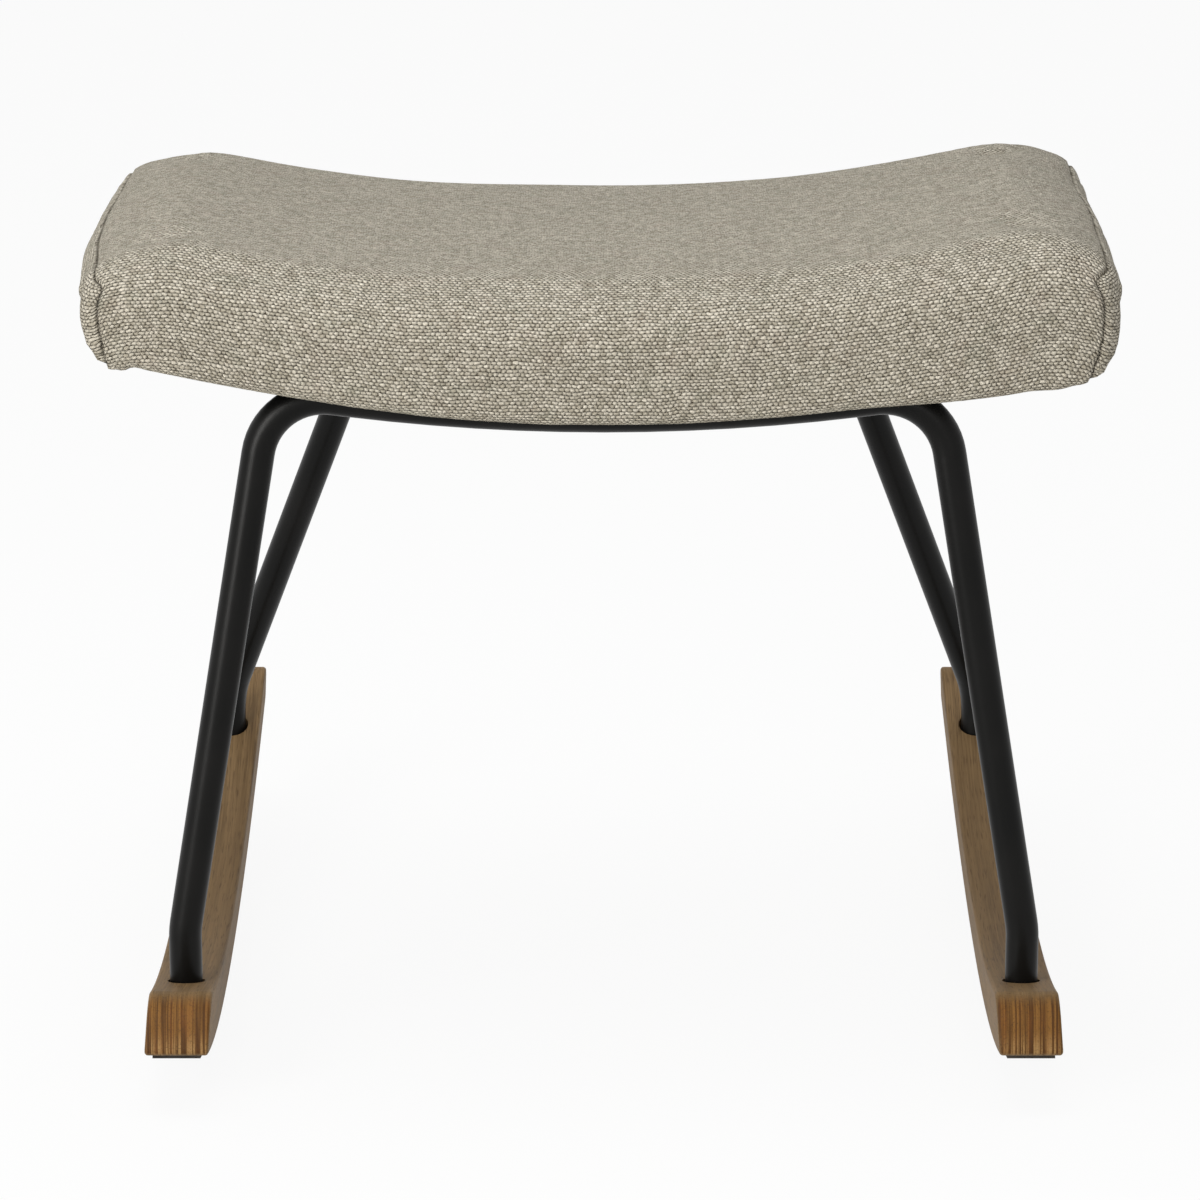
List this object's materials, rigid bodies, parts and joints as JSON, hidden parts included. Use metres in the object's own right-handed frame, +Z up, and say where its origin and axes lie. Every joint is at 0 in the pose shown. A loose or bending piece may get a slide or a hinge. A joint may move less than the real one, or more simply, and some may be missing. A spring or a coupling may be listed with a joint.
{
  "type": "rocking footstool",
  "caption": "Rocking footstool: saddle-shaped upholstered seat on bent black steel tube legs set into curved oak rockers with rubber treads.",
  "frame": {"origin": "on the floor, half way between the two rockers and half way along them", "axes": "+X across the seat to the viewer's right, +Y from the front edge to the back, +Z up"},
  "size_m": [0.5846, 0.5316, 0.5031],
  "materials": {
    "fabric": "matte",
    "foam": "matte",
    "plywood": "matte",
    "dust_cloth": "matte",
    "steel_black": "satin",
    "zinc": "satin",
    "screw_black": "satin",
    "oak": "satin",
    "rubber": "matte"
  },
  "bodies": {
    "root": {"seat_board": "plywood", "seat_foam": "foam", "cover_main": "fabric", "cover_end_left": "fabric", "cover_end_right": "fabric", "dust_cloth": "dust_cloth", "staples": "zinc", "tee_nuts": "zinc", "seat_washers": "zinc", "seat_screws": "screw_black", "front_frame": "steel_black", "rear_frame": "steel_black", "leg_inserts": "zinc", "tab_front_left": "steel_black", "tab_front_right": "steel_black", "tab_rear_left": "steel_black", "tab_rear_right": "steel_black", "rocker_left": "oak", "rocker_right": "oak", "tread_left": "rubber", "tread_right": "rubber", "rocker_screws": "screw_black", "rocker_washers": "zinc"}
  },
  "joints": []
}
